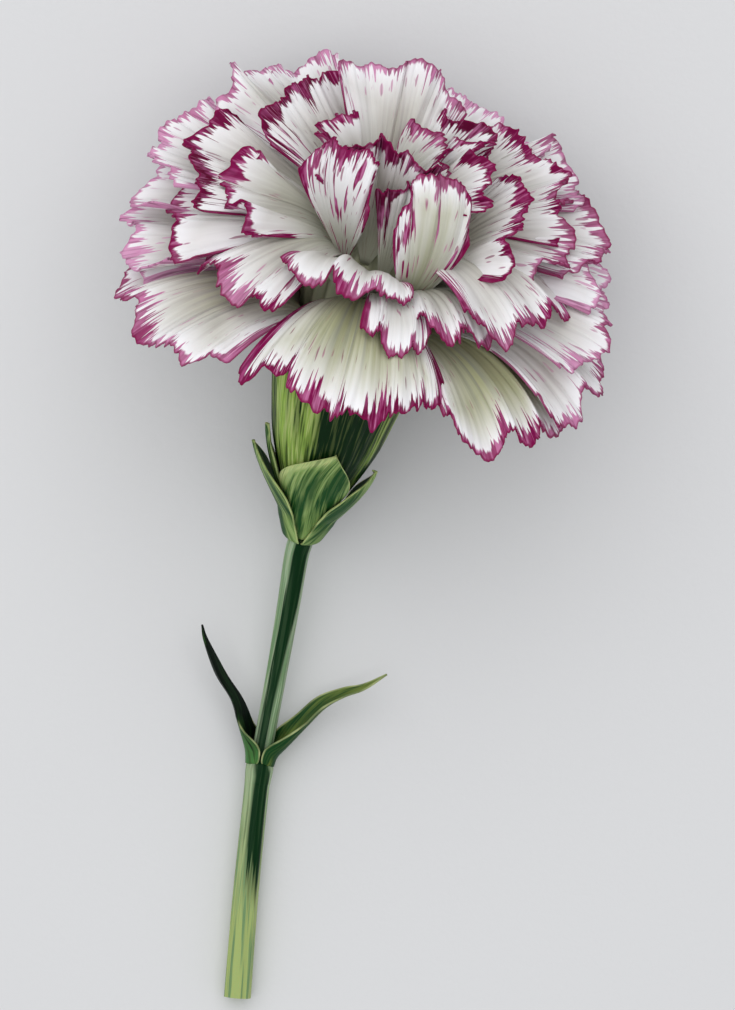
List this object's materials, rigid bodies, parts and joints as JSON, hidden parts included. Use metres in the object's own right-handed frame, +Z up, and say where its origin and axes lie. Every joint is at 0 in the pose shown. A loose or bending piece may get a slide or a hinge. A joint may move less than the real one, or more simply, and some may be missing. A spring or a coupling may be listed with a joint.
{
  "type": "cut carnation",
  "caption": "Cut carnation lying on a surface: ruffled double bloom with coloured petal edges, ribbed calyx with bracts, a leaf pair and a bare cut stem.",
  "frame": {"origin": "centre of the flower's footprint on the table, at table height", "axes": "+X to the right across the flower, +Y along the stem from its cut end to the bloom, +Z up"},
  "size_m": [0.078, 0.1532, 0.059],
  "materials": {
    "petal": "thin soft matt petal, white with magenta edges",
    "calyx": "ribbed satin green plant skin",
    "bract": "satin green plant skin",
    "leaf": "satin green leaf",
    "stem": "satin green stem with a waxy bloom"
  },
  "bodies": {
    "root": {"bloom": "petal", "calyx": "calyx", "bract_left": "bract", "bract_front_left": "bract", "bract_front": "bract", "bract_right": "bract", "leaf_left": "leaf", "leaf_right": "leaf", "stem": "stem"}
  },
  "joints": []
}
